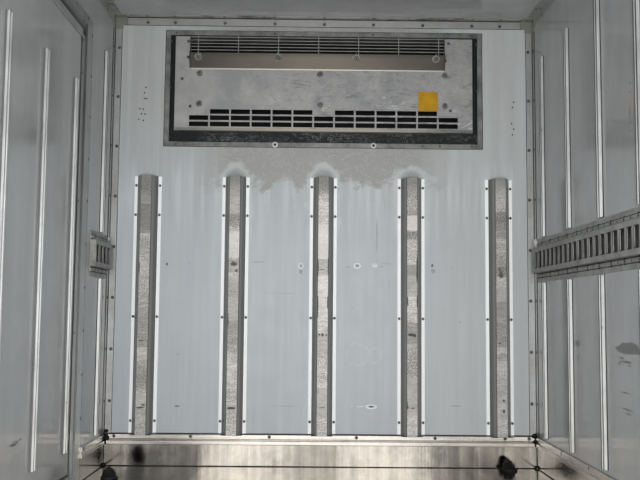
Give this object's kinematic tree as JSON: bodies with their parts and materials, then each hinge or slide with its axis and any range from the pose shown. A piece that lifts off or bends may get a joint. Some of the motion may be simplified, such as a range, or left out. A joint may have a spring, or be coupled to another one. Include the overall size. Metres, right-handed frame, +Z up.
{
  "type": "insulated load body of a refrigerated truck",
  "caption": "Insulated box body for a refrigerated truck, with hinged rear and side doors, lashing rails, a ceiling-height evaporator and a nose-mounted condenser unit.",
  "frame": {"origin": "bottom centre of the body's bounding box, on the plane that its long sills stand on", "axes": "+Y points to the cab, +X to the driver's right, +Z up"},
  "size_m": [2.123, 3.66, 2.13],
  "materials": {
    "wall_panel": "pre-painted steel skin, semi-gloss light grey",
    "floor_insulation": "resin-faced insulated slab",
    "deck_stainless": "stainless sheet, brushed and worn",
    "mirror_stainless": "stainless sheet, bright rolled",
    "frame_stainless": "welded stainless, hairline finish",
    "trim_aluminium": "extruded, natural anodised",
    "rib_aluminium": "extruded, dull and stained",
    "rail_galvanised": "rolled galvanised steel",
    "cover_stainless": "stainless sheet, mottled satin",
    "underframe_paint": "black chassis paint",
    "seal_rubber": "extruded rubber",
    "lock_steel": "polished stainless bar and castings",
    "housing_paint": "white painted housing",
    "fan_plastic": "moulded glass-filled nylon",
    "guard_wire": "powder-coated wire",
    "coil_fins": "pressed fins",
    "lamp_amber": "moulded amber lens",
    "lamp_white": "moulded opal lens"
  },
  "bodies": {
    "box": {"long_sills": "underframe_paint", "cross_members": "underframe_paint", "lower_side_rails": "trim_aluminium", "floor_panel": "floor_insulation", "floor_plate": "deck_stainless", "left_wall": "wall_panel", "right_wall": "wall_panel", "front_wall": "wall_panel", "roof_panel": "wall_panel", "outer_edge_rails": "trim_aluminium", "rear_frame": "frame_stainless", "front_wall_ribs": "rib_aluminium", "side_wall_ribs": "rib_aluminium", "lashing_rails": "rail_galvanised", "corner_trims": "trim_aluminium", "ceiling_trims": "trim_aluminium", "skirting_trims": "trim_aluminium", "kick_plates": "mirror_stainless", "drain_plugs": "seal_rubber", "evaporator_frame": "trim_aluminium", "evaporator_cover": "cover_stainless", "evaporator_seal": "seal_rubber", "evaporator_block": "coil_fins", "outlet_grille": "trim_aluminium", "outlet_deflector": "cover_stainless", "ceiling_lamp": "lamp_white", "condenser_housing": "housing_paint", "condenser_coil": "coil_fins", "fan_guards": "guard_wire", "side_doorway_frame": "trim_aluminium", "side_door_fittings": "lock_steel", "rear_door_fittings": "lock_steel", "side_marker_lamps": "lamp_amber", "rear_buffers": "seal_rubber"},
    "left_rear_door": {"left_rear_door": "wall_panel", "left_rear_door_gasket": "seal_rubber", "left_rear_door_ribs": "rib_aluminium", "left_rear_door_hardware": "lock_steel"},
    "right_rear_door": {"right_rear_door": "wall_panel", "right_rear_door_gasket": "seal_rubber", "right_rear_door_ribs": "rib_aluminium", "right_rear_door_hardware": "lock_steel"},
    "side_door": {"side_door": "wall_panel", "side_door_gasket": "seal_rubber", "side_door_ribs": "rib_aluminium", "side_door_hardware": "lock_steel"},
    "condenser_fan_left": {"condenser_fan_left": "fan_plastic"},
    "condenser_fan_right": {"condenser_fan_right": "fan_plastic"}
  },
  "joints": [
    {"name": "right_rear_door_hinge", "type": "hinge", "parent": "box", "child": "right_rear_door", "pos_m": [0.9345, -1.819, 0.273], "axis": [0, 0, 1], "range_deg": [-270, 0]},
    {"name": "left_rear_door_hinge", "type": "hinge", "parent": "box", "child": "left_rear_door", "pos_m": [-0.9345, -1.819, 0.273], "axis": [0, 0, 1], "range_deg": [0, 270]},
    {"name": "side_door_hinge", "type": "hinge", "parent": "box", "child": "side_door", "pos_m": [-0.942, 0.98, 0.273], "axis": [0, 0, -1], "range_deg": [0, 110]},
    {"name": "condenser_fan_left_spin", "type": "hinge", "parent": "box", "child": "condenser_fan_left", "pos_m": [-0.29, 1.766, 1.728], "axis": [0, 1, 0], "continuous": true},
    {"name": "condenser_fan_right_spin", "type": "hinge", "parent": "box", "child": "condenser_fan_right", "pos_m": [0.29, 1.766, 1.728], "axis": [0, 1, 0], "continuous": true}
  ]
}
